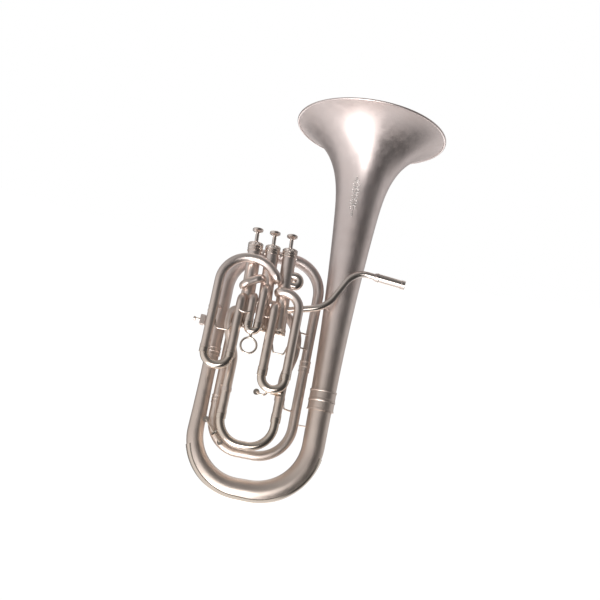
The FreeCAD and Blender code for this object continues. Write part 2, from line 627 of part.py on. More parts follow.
knuckles = []
for number in VALVES[:2]:
    name = "knuckle_%d" % number
    start = valve_point(number, mm("port_height"))
    end = valve_point(number + 1, mm("port_height"))
    knuckles.append(Tube(name, [start, end], (), ["knuckle_radius"],
                         "(knuckle_radius - knuckle_bore)"))

receiver_way = V(math.cos(math.radians(mm("receiver_droop"))), 0,
                 -math.sin(math.radians(mm("receiver_droop"))))
receiver_start = V(mm("receiver_x"), -mm("receiver_y"), mm("receiver_z"))
leadpipe_peak = receiver_start - receiver_way * mm("leadpipe_peak_reach")
leadpipe = Tube("leadpipe", [
    V(-mm("leadpipe_start_x"), -mm("valve_y"), mm("leadpipe_start_z")),
    V(-mm("leadpipe_low_x"), -mm("leadpipe_low_y"), mm("leadpipe_low_z")),
    leadpipe_peak, receiver_start],
    [mm("leadpipe_low_bend"), mm("leadpipe_high_bend")],
    ["leadpipe_valve_radius", None, "leadpipe_radius", None, None, "leadpipe_end_radius"],
    "leadpipe_wall")


def receiver():
    outline = [("receiver_bore - 1", "0"), ("receiver_radius + 0.45", "0"),
               ("receiver_radius + 0.45", "3.0"), ("receiver_radius", "4.0"),
               ("receiver_radius", "receiver_length - receiver_ring_length - 1"),
               ("receiver_ring_radius", "receiver_length - receiver_ring_length"),
               ("receiver_ring_radius", "receiver_length - 0.6"),
               ("receiver_ring_radius - 0.6", "receiver_length"),
               ("receiver_mouth", "receiver_length"),
               ("receiver_bore", "receiver_length - 24")]
    return turned("receiver_body", outline, aimed(receiver_start, receiver_way))


keep("mouthpiece_receiver", receiver())

# --- valves -------------------------------------------------------------------------------------

def casing(number, bores):
    outline = [("casing_bore", "casing_low"), ("casing_radius", "casing_low"),
               ("casing_radius", "casing_high"), ("casing_bore", "casing_high")]
    tube = turned("casing_tube_%d" % number, outline, valve_placement(number))
    ports = joined("casing_ports_%d" % number, bores)
    keep("valve_casing_%d" % number, difference("casing_drilled_%d" % number, tube, ports))


casing(1, [first_left.bore, first_right.bore, loop.bore, leadpipe.bore, knuckles[0].bore,
           third_left.bore])
casing(2, [second_right.bore, third_left.bore, knuckles[0].bore, knuckles[1].bore, cross.bore])
casing(3, [third_right.bore, second_left.bore, outlet.bore, knuckles[1].bore, cross.bore])


def trimmed(label, tubes, tools):
    """Tubes that end on other parts: the ends are cut to the shapes they are soldered to."""
    walls = group(label + "_walls", [tube.wall for tube in tubes]) if len(tubes) > 1 \
        else tubes[0].wall
    tool = joined(label + "_seats", tools) if len(tools) > 1 else tools[0]
    return keep(label, difference(label + "_trimmed", walls, tool))


all_casings = [casing_outlines[number] for number in VALVES]
knuckle_solids = [knuckle.outside for knuckle in knuckles]
trimmed("first_slide_tubes", [first_left, first_right], all_casings + knuckle_solids)
trimmed("second_slide_tubes", [second_left, second_right], all_casings + knuckle_solids)
trimmed("third_slide_tubes", [third_left, third_right], all_casings)
trimmed("valve_outlet_tube", [outlet], [casing_outlines[3]])
trimmed("compensating_loop", [loop], [casing_outlines[1]])
trimmed("compensating_cross_tube", [cross], all_casings)
trimmed("valve_knuckles", knuckles, all_casings)
trimmed("leadpipe", [leadpipe], [casing_outlines[1]])


CAP_ROOF = "(top_cap_high - cap_wall * 1.5)"


def top_cap(number):
    outline = [("casing_radius", "top_cap_low"), ("cap_radius", "top_cap_low"),
               ("cap_radius", "top_cap_low + 1.6"), ("cap_groove_radius", "top_cap_low + 2.2"),
               ("cap_groove_radius", "top_cap_low + 3.2"), ("cap_radius", "top_cap_low + 3.8"),
               ("cap_radius", "top_cap_low + 5.4"), ("cap_groove_radius", "top_cap_low + 6.0"),
               ("cap_groove_radius", "top_cap_low + 7.0"), ("cap_radius", "top_cap_low + 7.6"),
               ("cap_radius", "top_cap_high - 1.6"), ("cap_radius - 1.2", "top_cap_high - 0.4"),
               ("cap_boss_radius", "top_cap_high"), ("cap_boss_radius", "cap_boss_high"),
               ("stem_hole", "cap_boss_high"), ("stem_hole", CAP_ROOF), ("casing_radius", CAP_ROOF)]
    return turned("top_cap_%d" % number, outline, valve_placement(number))


def bottom_cap(number):
    outline = [("0", "0"), ("cap_radius - 2.2", "0"), ("cap_radius - 0.4", "1.4"),
               ("cap_radius - 0.4", "3.2"), ("cap_groove_radius - 0.4", "3.8"),
               ("cap_groove_radius - 0.4", "4.8"), ("cap_radius - 0.4", "5.4"),
               ("cap_radius - 0.4", "bottom_cap_height"),
               ("casing_radius", "bottom_cap_height"), ("casing_radius", "casing_low"),
               ("casing_bore - 0.1", "casing_low"), ("casing_bore - 0.1", "spring_seat"),
               ("0", "spring_seat")]
    return turned("bottom_cap_%d" % number, outline, valve_placement(number))


def cap_felt(number):
    """The felt ring under a top cap's roof that stops the stem's collar."""
    low = CAP_ROOF + " - felt_height"
    outline = [("felt_bore", low), ("felt_radius", low), ("felt_radius", CAP_ROOF),
               ("felt_bore", CAP_ROOF)]
    return turned("cap_felt_%d" % number, outline, valve_placement(number))


def piston(number):
    outline = [("0", "piston_low + 3"), ("piston_well", "piston_low + 3"),
               ("piston_radius - 1.2", "piston_low + 2"), ("piston_radius - 1.2", "piston_low"),
               ("piston_radius", "piston_low"), ("piston_radius", "piston_high"),
               ("piston_radius - 0.8", "piston_high"), ("piston_radius - 0.8", "piston_high - 9"),
               ("0", "piston_high - 9")]
    barrel = turned("piston_barrel_%d" % number, outline, valve_placement(number))
    ports = []
    for row, turn in enumerate((90, 35, 90)):
        height = mm("port_height + port_step * %d" % row)
        way = FreeCAD.Rotation(V(0, 0, 1), turn).multVec(V(0, 1, 0.16 * (row - 1)))
        line = valve_placement(number).Rotation.multVec(way).normalize()
        reach = 2.5 * mm("piston_radius")
        start = valve_point(number, height) - line * (reach / 2)
        port = doc.addObject("Part::Cylinder", "piston_port_%d_%d" % (number, row))
        port.setExpression("Radius", size("piston_port"))
        port.setExpression("Height", size("2.5 * piston_radius"))
        port.Placement = aimed(start, line)
        ports.append(port)
    keep("piston_%d" % number,
         difference("piston_ported_%d" % number, barrel, joined("piston_ports_%d" % number, ports)))


def stem(number):
    foot = "piston_high - 9"
    collar = CAP_ROOF + " - felt_height - 0.02"
    outline = [("0", foot), ("stem_foot_radius", foot),
               ("stem_foot_radius", foot + " + stem_foot_height"),
               ("stem_radius", foot + " + stem_foot_height"),
               ("stem_radius", collar + " - stem_collar_height"),
               ("stem_collar_radius", collar + " - stem_collar_height"),
               ("stem_collar_radius", collar), ("stem_radius", collar),
               ("stem_radius", "button_low"),
               ("button_screw", "button_low"), ("button_screw", "button_high - 2"),
               ("0", "button_high - 2")]
    keep("valve_stem_%d" % number,
         turned("valve_stem_body_%d" % number, outline, valve_placement(number)))


def button(number):
    """A finger button: a shallow dish on a coned neck, screwed to the stem."""
    outline = [("button_screw", "button_low"), ("button_neck", "button_low"),
               ("button_neck", "button_low + 1"), ("button_radius - 1", "button_edge - 0.6"),
               ("button_radius", "button_edge"), ("button_radius", "button_high - 0.8"),
               ("button_radius - 0.8", "button_high"), ("button_radius - 1.8", "button_high - 0.4"),
               ("0", "button_high - 0.9"), ("0", "button_high - 2"),
               ("button_screw", "button_high - 2")]
    keep("finger_button_%d" % number,
         turned("finger_button_body_%d" % number, outline, valve_placement(number)))


def valve_spring(number):
    """The coil spring between the bottom cap and the piston."""
    low = mm("spring_seat + spring_wire") + 0.05
    high = mm("piston_low + 2 - spring_wire") - 0.35
    coil = doc.addObject("Part::Helix", "spring_line_%d" % number)
    coil.setExpression("Radius", size("spring_radius"))
    coil.Height = high - low
    coil.Pitch = (high - low) / mm("spring_turns")
    coil.SegmentLength = 1
    coil.Placement = valve_placement(number).multiply(
        FreeCAD.Placement(V(0, 0, low), FreeCAD.Rotation()))
    section = doc.addObject("Part::Circle", "spring_section_%d" % number)
    section.setExpression("Radius", size("spring_wire"))
    rise = (high - low) / mm("spring_turns")
    slope = V(0, 2 * math.pi * mm("spring_radius"), rise)
    section.Placement = valve_placement(number).multiply(
        aimed(V(mm("spring_radius"), 0, low), slope))
    wire = doc.addObject("Part::Sweep", "spring_sweep_%d" % number)
    wire.Sections = [section]
    wire.Spine = (coil, [])
    wire.Solid = True
    wire.Frenet = True
    keep("valve_spring_%d" % number, wire)


keep("top_caps", group("top_cap_group", [top_cap(number) for number in VALVES]))
keep("bottom_caps", group("bottom_cap_group", [bottom_cap(number) for number in VALVES]))
keep("cap_felts", group("cap_felt_group", [cap_felt(number) for number in VALVES]))
for number in VALVES:
    piston(number)
    stem(number)
    button(number)
    valve_spring(number)

# --- ferrules -----------------------------------------------------------------------------------

def beaded_ring(name, placement, bore, radius, length):
    """A ferrule with a raised bead at each end and one in the middle."""
    bead = 1.3
    rise = radius + " + 0.55"
    half = "%s / 2" % length
    outline = [(bore, "0"), (rise, "0"), (rise, "%s" % bead), (radius, "%s" % (bead + 0.5)),
               (radius, "%s - 1.2" % half), (rise, "%s - 0.7" % half), (rise, "%s + 0.7" % half),
               (radius, "%s + 1.2" % half), (radius, "%s - %s" % (length, bead + 0.5)),
               (rise, "%s - %s" % (length, bead)), (rise, length), (bore, length)]
    return turned(name, outline, placement)


def branch_ferrules():
    """The rings over the joints between one bow and the next."""
    leg = (V(-mm("inner_leg_top_x"), 0, mm("top_bow_z"))
           - V(-mm("inner_leg_low_x"), 0, mm("middle_bow_z"))).normalize()
    rings = [
        beaded_ring("inner_leg_ferrule", aimed(inner_joint - leg * 8, leg),
                    "top_bow_start_radius + 0.15", "top_bow_start_radius + 0.8", "16"),
        beaded_ring("left_leg_ferrule", aimed(BOTTOM_CORNERS[0] - V(0, 0, 6), V(0, 0, 1)),
                    "left_leg_top_radius + 0.15", "left_leg_top_radius + 0.8", "12"),
        beaded_ring("middle_leg_ferrule",
                    aimed(V(-mm("middle_leg_x"), 0, mm("middle_leg_joint_z") - 6), V(0, 0, 1)),
                    "middle_bow_end_radius + 0.02", "middle_bow_end_radius + 0.6", "12")]
    for side in ("left", "right"):
        place = V(-mm("tuning_%s_x" % side), -mm("tuning_y"), mm("tuning_top_z") - 3)
        rings.append(ring_on("tuning_top_ferrule_" + side, aimed(place, V(0, 0, 1)),
                             "branch_radius + 0.02", "branch_radius + 0.7", "5.5"))
    pipe = receiver_start - receiver_way * 2.7
    rings.append(ring_on("leadpipe_ferrule_ring", aimed(pipe, receiver_way),
                         "leadpipe_end_radius + 0.02", "leadpipe_end_radius + 1.1", "2.6"))
    return group("branch_ferrule_group", rings)


keep("branch_ferrules", branch_ferrules())


def slide_ferrules():
    """The rings at the open ends of the slide sleeves, and the one half-way up the third slide."""
    rings = []
    for name, x, y, low, bore, radius in (
            ("first_left", "first_left_x", slides_y, first_end, "sleeve_radius", "ferrule_radius"),
            ("first_right", "first_right_x", slides_y, first_end, "sleeve_radius", "ferrule_radius"),
            ("second_left", "second_left_x", slides_y, second_end, "second_sleeve_radius",
             "second_ferrule_radius"),
            ("second_right", "second_right_x", slides_y, second_end, "second_sleeve_radius",
             "second_ferrule_radius"),
            ("third_left", "third_left_x", slides_y, third_end, "sleeve_radius", "ferrule_radius"),
            ("third_right", "third_right_x", slides_y, third_end, "sleeve_radius",
             "ferrule_radius"),
            ("third_upper", "third_left_x", slides_y, third_end + mm("third_upper_ring"), "sleeve_radius",
             "ferrule_radius"),
            ("third_lower", "third_left_x", slides_y, third_end + mm("third_lower_ring"), "sleeve_radius",
             "ferrule_radius"),
            ("tuning_left", "tuning_left_x", -mm("tuning_y"),
             mm("tuning_left_end_z + sleeve_gap"), "sleeve_radius", "ferrule_radius"),
            ("tuning_right", "tuning_right_x", -mm("tuning_y"),
             mm("tuning_right_end_z + sleeve_gap"), "sleeve_radius", "ferrule_radius")):
        length = "ferrule_length / 2" if name in ("third_upper", "third_lower") \
            else "ferrule_length"
        rings.append(ring_on(name + "_ferrule", aimed(V(-mm(x), y, low), V(0, 0, 1)),
                             bore + " + 0.005", radius, length))
    return group("slide_ferrule_group", rings)


keep("slide_ferrules", slide_ferrules())

# --- braces -------------------------------------------------------------------------------------

def brace(name, corners, radius="brace_radius", bend="brace_bend"):
    line = spine(name + "_line", corners, [mm(bend)] * (len(corners) - 2))
    return rod(name + "_wire", line, [radius])


def u_brace(name, left, right):
    """A wire that hangs in a U between two tubes."""
    inward = (right - left) * 0.16
    drop = V(0, 0, mm("brace_drop"))
    return brace(name, [left, left + inward - drop, right - inward - drop, right])


def soldered(label, wires, tools):
    """Wires whose ends are cut to the tubes they are soldered to."""
    return keep(label, difference(label + "_trimmed", group(label + "_wires", wires),
                                  joined(label + "_seats", tools)))


def at_slide(left_x, height):
    """The point on a valve slide's centre line at a height."""
    return V(-mm(left_x), slides_y, height)


def slide_braces():
    bite = V(mm("brace_bite"), 0, 0)
    front = V(0, -mm("sleeve_radius"), 0)
    wires = []
    for name in ("first", "third"):
        height = mm(name + "_brace_z")
        wires.append(u_brace(name + "_brace", at_slide(name + "_left_x", height) + bite,
                             at_slide(name + "_right_x", height) - bite))
    third = at_slide("third_right_x", mm("slide_tie_z"))
    second = at_slide("second_left_x", mm("slide_tie_z"))
    sag = V(0, front.y, -mm("slide_tie_sag"))
    wires.append(brace("third_second_brace", [third + front, (third + second) / 2 + sag,
                                              second + front * 0.88], bend="brace_drop"))
    second = at_slide("second_right_x", mm("slide_tie_z"))
    first = at_slide("first_left_x", mm("slide_tie_z"))
    drop = V(mm("slide_tie_sag"), 0, -mm("slide_tie_sag"))
    wires.append(brace("second_first_brace", [second + bite, second + bite + drop, first - bite]))
    seats = [tube.outside for tube in (first_left, first_right, second_left, second_right,
                                       third_left, third_right)]
    return soldered("slide_braces", wires, seats)


slide_braces()


def on_inner_leg(height):
    return V(inner_leg_x(height), 0, height)


def body_braces():
    """The wires and posts that hold the bows, the valves and the leadpipe to one another."""
    post = "brace_radius * 1.6"
    tuning_y = -mm("tuning_y")
    side = V(mm("branch_radius") * 0.4, 0, 0)
    front = V(0, -mm("branch_radius") * 0.8, 0)
    hang = V(0, -mm("brace_bend"), -mm("brace_drop"))
    inner = on_inner_leg(mm("swan_brace_z")) - side + front
    swan = V(-mm("inner_bow_right_x"), -mm("inner_bow_y"), mm("swan_brace_z")) + side + front
    tie = V(0, 0, mm("swan_tie_rise"))
    tuning = V(-mm("tuning_right_x"), tuning_y, mm("tuning_brace_z"))
    bow = on_inner_leg(mm("bow_tie_z"))
    valve = V(-mm("valve_x + valve_pitch"), -mm("valve_y"), mm("valve_post_z"))
    top = valve_point(2, mm("top_post_height"))
    third = V(-mm("third_left_x"), slides_y, mm("third_post_z"))
    middle = V(-mm("middle_leg_x"), front.y, mm("outlet_tie_z"))
    wires = [
        brace("swan_brace", [swan, swan + hang, inner + hang, inner]),
        brace("swan_tie", [swan + tie, inner + tie]),
        u_brace("tuning_brace", tuning + V(mm("branch_radius") * 0.8, 0, 0),
                on_inner_leg(tuning.z) - side * 1.6),
        brace("bow_tie", [bow, V(-mm("bow_joint_radius") * 0.8, 0, bow.z)]),
        brace("leadpipe_foot", [V(-mm("foot_x"), -mm("foot_y"), mm("foot_z")),
                                V(-mm("bell_throat_radius") * 0.64,
                                  -mm("bell_throat_radius") * 0.6, mm("foot_z"))]),
        brace("leadpipe_post", [V(mm("leadpipe_post_x"), -mm("leadpipe_post_y"),
                                  mm("leadpipe_post_z")),
                                V(mm("bell_body_radius") * 0.5, -mm("bell_body_radius") * 0.7,
                                  mm("leadpipe_post_z"))], post),
        brace("third_post", [third - front * 0.9,
                             V(-mm("left_leg_x"), -mm("left_leg_top_radius") * 0.9, third.z)],
              post),
        brace("top_bow_post", [top - front, V(top.x, -mm("top_bow_apex_radius") * 0.3,
                                              mm("top_bow_z") - mm("top_bow_apex_radius") * 0.3)],
              post),
        brace("valve_post", [valve + V(0, mm("casing_radius") * 0.8, 0),
                             V(valve.x, front.y, valve.z)], post),
        brace("outlet_tie", [V(-mm("tuning_left_x"), tuning_y, middle.z) - side - front * 0.7,
                             middle + side], post)]
    seats = [bottom_bow.outside, top_bow.outside, middle_bow.outside, inner_bow.outside,
             tuning_left.outside, tuning_right.outside, third_left.outside, leadpipe.outside,
             outlet.outside, doc.getObject("tuning_top_ferrule_right_outside"),
             bell_envelope()] + all_casings
    return soldered("body_braces", wires, seats)


def bell_envelope():
    """The space inside the bell's outside surface, as high as the leadpipe's post."""
    low, high = mm("bell_joint_z"), mm("bell_body_z")
    cone = doc.addObject("Part::Feature", "bell_envelope")
    outline = [V(0, 0, low), V(mm("bell_joint_radius"), 0, low),
               V(mm("bell_throat_radius"), 0, mm("bell_throat_z")),
               V(mm("bell_body_radius"), 0, high), V(0, 0, high), V(0, 0, low)]
    cone.Shape = Part.Face(Part.makePolygon(outline)).revolve(V(), V(0, 0, 1), 360)
    return cone


body_braces()

# --- water keys ---------------------------------------------------------------------------------

class WaterKey:
    """A drain key. In its own frame the origin is the pivot, +X points to the pad, +Y points
    in towards the tube that it drains, and Z is the pivot's axis."""

    def __init__(self, number, pivot, pad, tube_way, reach, tube):
        self.name = "key_%d" % number
        self.arm = (pad - pivot).Length
        along = (pad - pivot).normalize()
        axis = along.cross(V(0, 1, 0)).normalize()
        rotation = FreeCAD.Rotation(along, V(0, 1, 0), axis, "ZXY")
        self.frame = FreeCAD.Placement(pivot, rotation)
        self.tube_way = tube_way
        self.reach = reach
        self.tube = tube

    def place(self, point, direction):
        local = aimed(point, direction)
        return self.frame.multiply(local)

    def disc(self, label, point, radius, height, direction=V(0, 1, 0)):
        return upright_cylinder(self.name + "_" + label, self.place(point, direction), radius,
                                height)

    def lever(self, bends):
        """The bar, its barrel at the pivot, the pad's cup and the finger plate. The bar runs
        from the pad over the pivot, and the last of its bends is the middle of the plate."""
        cup = mm("key_cup_height")
        touch = bends[-1]
        bar_points = [self.frame.multVec(point) for point in [V(self.arm, 0, 0)] + bends]
        line = spine(self.name + "_bar_line", bar_points,
                     [mm("key_bar_bend")] * (len(bar_points) - 2))
        bar = rod(self.name + "_bar", line, ["key_bar_radius"])
        half = mm("key_barrel_half")
        barrel = self.disc("barrel", V(0, 0, -half), "key_barrel_radius", "2 * key_barrel_half",
                           V(0, 0, 1))
        cup_disc = self.disc("cup", V(self.arm, 0, 0), "key_pad_radius", "key_cup_height")
        plate = self.disc("touch", touch - V(0, mm("key_touch_height") * 0.7, 0),
                          "key_touch_radius", "key_touch_height")
        hole = self.disc("hole", V(0, 0, -2 * half), "key_screw_radius + key_clearance",
                         "4 * key_barrel_half", V(0, 0, 1))
        solid = joined(self.name + "_lever_solid", [bar, barrel, cup_disc, plate])
        keep("water_key_lever_" + self.name[-1],
             difference(self.name + "_lever_cut", solid, hole))
        keep("water_key_cork_" + self.name[-1],
             self.disc("cork", V(self.arm, cup, 0), "key_cork_radius", "key_cork_height"))

    def nipple(self):
        top = mm("key_cup_height + key_cork_height")
        outside = self.disc("nipple_outside", V(self.arm, top, 0), "nipple_radius", "key_lift")
        hole = self.disc("nipple_hole", V(self.arm, top, 0), "nipple_bore", "key_lift")
        return difference(self.name + "_nipple",
                          difference(self.name + "_nipple_tube", outside, hole), self.tube.outside)

    def drain(self):
        """The hole through the tube's wall under the nipple."""
        return self.disc("drain", V(self.arm, 0, 0), "nipple_bore", "key_lift * 2.2")

    def saddle(self):
        """Two ears that hold the pivot screw, bridged behind the barrel."""
        low = mm("key_barrel_half + key_clearance")
        wall = mm("key_ear_wall")
        width = 2 * mm("key_barrel_radius")
        ears = []
        for label, start in (("upper", low), ("lower", -low - wall)):
            ears.append(self.disc("ear_" + label, V(0, 0, start), "key_barrel_radius",
                                  "key_ear_wall", V(0, 0, 1)))
            ears.append(self.strap("strap_" + label, start, wall, 0.0, width))
        ears.append(self.strap("bridge", -low - wall, 2 * (low + wall),
                               mm("key_barrel_radius + key_bridge_gap"), width * 0.65))
        pin = self.disc("saddle_hole", V(0, 0, -3 * low), "key_screw_radius",
                        "6 * key_barrel_half", V(0, 0, 1))
        solid = joined(self.name + "_saddle_solid", ears)
        return difference(self.name + "_saddle", solid,
                          joined(self.name + "_saddle_tools", [pin, self.tube.outside]))

    def strap(self, label, low, height, start, width):
        """A bar of the saddle that runs from the pivot towards the tube's centre line."""
        box = doc.addObject("Part::Box", self.name + "_" + label)
        box.Length = self.reach - start
        box.Width = width
        box.Height = height
        turn = FreeCAD.Rotation(V(0, 0, 1), math.degrees(math.atan2(self.tube_way.y,
                                                                    self.tube_way.x)))
        corner = turn.multVec(V(start, -width / 2, 0)) + V(0, 0, low)
        box.Placement = self.frame.multiply(FreeCAD.Placement(corner, turn))
        return box

    def screw(self):
        low = mm("key_barrel_half + key_clearance + key_ear_wall")
        shank = self.disc("screw_shank", V(0, 0, -low), "key_screw_radius",
                          "2 * (key_barrel_half + key_clearance + key_ear_wall) + 0.2",
                          V(0, 0, 1))
        head = self.disc("screw_head", V(0, 0, low), "key_screw_head_radius", "1.0", V(0, 0, 1))
        return joined(self.name + "_screw", [shank, head])

    def spring(self):
        """The wire coil beside the bar that holds the pad shut."""
        coil = doc.addObject("Part::Helix", self.name + "_spring_line")
        radius = mm("key_barrel_radius + key_spring_wire + key_spring_gap")
        coil.setExpression("Radius", size("key_barrel_radius + key_spring_wire + key_spring_gap"))
        coil.setExpression("Pitch", size("key_spring_pitch"))
        coil.setExpression("Height", size("key_spring_pitch * 1.1"))
        start = mm("key_bar_radius + key_spring_wire") + 0.12
        coil.Placement = self.frame.multiply(
            FreeCAD.Placement(V(0, 0, start), FreeCAD.Rotation()))
        section = doc.addObject("Part::Circle", self.name + "_spring_section")
        section.setExpression("Radius", size("key_spring_wire"))
        section.Placement = self.frame.multiply(
            aimed(V(radius, 0, start), V(0, 2 * math.pi * radius, mm("key_spring_pitch"))))
        wire = doc.addObject("Part::Sweep", self.name + "_spring")
        wire.Sections = [section]
        wire.Spine = (coil, [])
        wire.Solid = True
        wire.Frenet = True
        return wire


def water_keys():
    """One key drains the swan neck above the main tuning slide, the other the middle bow."""
    stand = mm("key_cup_height + key_cork_height + key_gap")
    front = -mm("tuning_y + branch_radius") - stand
    pad = V(-mm("tuning_right_x"), front, mm("swan_key_z"))
    arm = mm("swan_key_arm")
    first = WaterKey(1, pad - V(arm, 0, 0), pad, V(1, 1, 0), 17.0, inner_bow)
    neck = V(-mm("swan_key_neck"), 0, 0)
    dip = V(-mm("swan_key_dip") * 0.7, 0, -mm("swan_key_dip"))
    reach = mm("key_touch_reach")
    first.lever([neck, neck + dip, neck + dip + neck,
                 V(-reach, 1.5, -mm("swan_key_touch_drop"))])
    front = -mm("middle_bow_radius") - stand
    bend = mm("middle_bow_left_bend")
    centre = V(-mm("middle_leg_x") + bend, front, mm("middle_bow_z") + bend)
    spread = math.degrees(mm("bow_key_arm / bow_key_reach"))
    outward = [FreeCAD.Rotation(V(0, 1, 0), turn).multVec(V(0, 0, -mm("bow_key_reach")))
               for turn in (mm("bow_key_angle"), mm("bow_key_angle") + spread)]
    second = WaterKey(2, centre + outward[1], centre + outward[0], V(0, 1, 0), 12.0, middle_bow)
    second.lever([V(), V(-reach, -0.5, 0)])
    keys = (first, second)
    keep("water_key_saddles", group("key_saddle_group", [part for key in keys
                                                         for part in (key.nipple(), key.saddle())]))
    keep("water_key_screws", group("key_screw_group", [key.screw() for key in keys]))
    keep("water_key_springs", group("key_spring_group", [key.spring() for key in keys]))
    keep("inner_top_bow", difference("inner_bow_drained", inner_bow.wall, first.drain()))
    keep("middle_bow", difference("middle_bow_drained", middle_bow.wall, second.drain()))
    return keys


KEYS = water_keys()

# --- lyre socket --------------------------------------------------------------------------------

def lyre_socket():
    """A block on the left leg with an upright hole for a music lyre's stem."""
    block = doc.addObject("Part::Box", "lyre_block")
    for side, alias in (("Length", "lyre_width"), ("Width", "lyre_width"),
                        ("Height", "lyre_height")):
        block.setExpression(side, size(alias))
    block.Placement.Base = V(-mm("lyre_x + lyre_width / 2"), -mm("lyre_y + lyre_width / 2"),
                             mm("lyre_z - lyre_height / 2"))
    soft = doc.addObject("Part::Fillet", "lyre_block_rounded")
    soft.Base = block
    soft.Edges = [(edge, 0.8, 0.8) for edge in range(1, 13)]
    arm = doc.addObject("Part::Box", "lyre_arm")
    arm.Length = mm("lyre_x - left_leg_x")
    arm.Width = mm("lyre_width") * 0.6
    arm.Height = mm("lyre_height") * 0.6
    arm.Placement.Base = V(-mm("lyre_x"), -mm("lyre_y") - arm.Width.Value / 2,
                           mm("lyre_z") - arm.Height.Value / 2)
    hole = upright_cylinder("lyre_hole_tool", V(-mm("lyre_x"), -mm("lyre_y"),
                                                mm("lyre_z - lyre_height")),
                            "lyre_hole", "2 * lyre_height")
    thread = upright_cylinder("lyre_thread_tool", aimed(
        V(-mm("lyre_x + lyre_width"), -mm("lyre_y"), mm("lyre_z")), V(1, 0, 0)),
        "lyre_screw_radius + 0.05", "lyre_width")
    solid = joined("lyre_socket_solid", [soft, arm])
    return keep("lyre_socket", difference("lyre_socket_cut", solid, joined(
        "lyre_tools", [hole, thread, top_bow.outside])))


def lyre_screw():
    """The thumbscrew that clamps the lyre: a shank and a waisted, rounded head."""
    tip = mm("lyre_hole") + 0.4
    low = mm("lyre_width") / 2 + 6.2
    outline = [("0", "0"), ("lyre_head_radius - 1.2", "0"), ("lyre_head_radius", "0.8"),
               ("lyre_head_radius", "lyre_head_length - 1"),
               ("lyre_head_radius - 0.8", "lyre_head_length"),
               ("lyre_screw_radius", "lyre_head_length + 0.4"),
               ("lyre_screw_radius", "%s + lyre_head_length - %s" % (low, tip)),
               ("0", "%s + lyre_head_length - %s" % (low, tip))]
    start = V(-mm("lyre_x") - low - mm("lyre_head_length"), -mm("lyre_y"), mm("lyre_z"))
    return keep("lyre_screw", turned("lyre_screw_body", outline, aimed(start, V(1, 0, 0))))


lyre_socket()
lyre_screw()

# --- check and write ----------------------------------------------------------------------------

doc.recompute()
for item in doc.Objects:
    if "Invalid" in item.State or "Error" in item.State:
        raise RuntimeError("%s did not build" % item.Name)
for piece in SUBPARTS:
    if piece.Shape.isNull() or not piece.Shape.isValid():
        raise RuntimeError("%s has no valid shape" % piece.Label)

os.makedirs("parts", exist_ok=True)
for piece in SUBPARTS:
    piece.Shape.exportStep(os.path.join("parts", piece.Label + ".step"))
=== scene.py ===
import json
import math

import bpy
from mathutils import Matrix, Vector
from mathutils.bvhtree import BVHTree


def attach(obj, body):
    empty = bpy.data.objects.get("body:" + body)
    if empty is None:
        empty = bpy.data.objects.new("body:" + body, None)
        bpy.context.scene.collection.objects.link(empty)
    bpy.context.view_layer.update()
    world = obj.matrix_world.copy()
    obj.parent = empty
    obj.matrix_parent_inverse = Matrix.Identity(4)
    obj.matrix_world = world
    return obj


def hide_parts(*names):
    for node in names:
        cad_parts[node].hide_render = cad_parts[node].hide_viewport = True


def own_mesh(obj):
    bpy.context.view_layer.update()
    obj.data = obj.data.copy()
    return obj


# A three-valve baritone horn in satin silver plate with polished slides. Metres, in the CAD frame.

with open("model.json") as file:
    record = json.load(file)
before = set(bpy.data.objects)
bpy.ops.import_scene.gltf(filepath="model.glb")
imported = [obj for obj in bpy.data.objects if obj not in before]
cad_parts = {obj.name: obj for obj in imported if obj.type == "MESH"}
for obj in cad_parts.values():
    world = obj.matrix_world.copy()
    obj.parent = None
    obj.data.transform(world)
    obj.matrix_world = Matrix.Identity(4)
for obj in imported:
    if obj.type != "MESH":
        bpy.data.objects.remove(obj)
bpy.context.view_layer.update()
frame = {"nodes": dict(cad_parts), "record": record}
scene = bpy.context.scene
nodes = frame["nodes"]
BELL_X = 0.0449


# --- node graphs --------------------------------------------------------------------------------

class Graph:
    """A node tree that is built by calls: each call makes a node and gives its first output."""

    def __init__(self, tree):
        self.tree = tree
        self.tree.nodes.clear()

    def add(self, kind, out=0, settings=None, **inputs):
        node = self.tree.nodes.new(kind)
        for name, value in (settings or {}).items():
            setattr(node, name, value)
        for name, value in inputs.items():
            numbered = name[0] == "i" and name[1:].isdigit()
            key = int(name[1:]) if numbered else name.replace("_", " ")
            self.feed(node.inputs[key], value)
        return node.outputs[out] if len(node.outputs) else node

    def feed(self, socket, value):
        if isinstance(value, bpy.types.NodeSocket):
            self.tree.links.new(value, socket)
        else:
            socket.default_value = value

    def math(self, operation, a, b=0.0, c=0.0):
        return self.add("ShaderNodeMath", settings={"operation": operation}, i0=a, i1=b, i2=c)

    def vector(self, operation, a, b=(0.0, 0.0, 0.0), out=0):
        return self.add("ShaderNodeVectorMath", out, {"operation": operation}, i0=a, i1=b)

    def ramp(self, value, low, high, to_low=0.0, to_high=1.0):
        return self.add("ShaderNodeMapRange", settings={"interpolation_type": "SMOOTHSTEP"},
                        i0=value, i1=low, i2=high, i3=to_low, i4=to_high)

    def mix(self, factor, a, b, blend="MIX"):
        """A colour mix."""
        return self.add("ShaderNodeMix", 2, {"data_type": "RGBA", "blend_type": blend},
                        i0=factor, i6=a, i7=b)

    def noise(self, where, scale, detail=3.0, roughness=0.55):
        return self.add("ShaderNodeTexNoise", Vector=where, Scale=scale, Detail=detail,
                        Roughness=roughness)

    def place(self):
        return self.add("ShaderNodeTexCoord", 3)

    def ray(self):
        return self.add("ShaderNodeTexCoord", 0)

    def split(self, vector):
        node = self.tree.nodes.new("ShaderNodeSeparateXYZ")
        self.feed(node.inputs[0], vector)
        return node.outputs


def rgba(colour):
    return tuple(colour) + (1.0,)


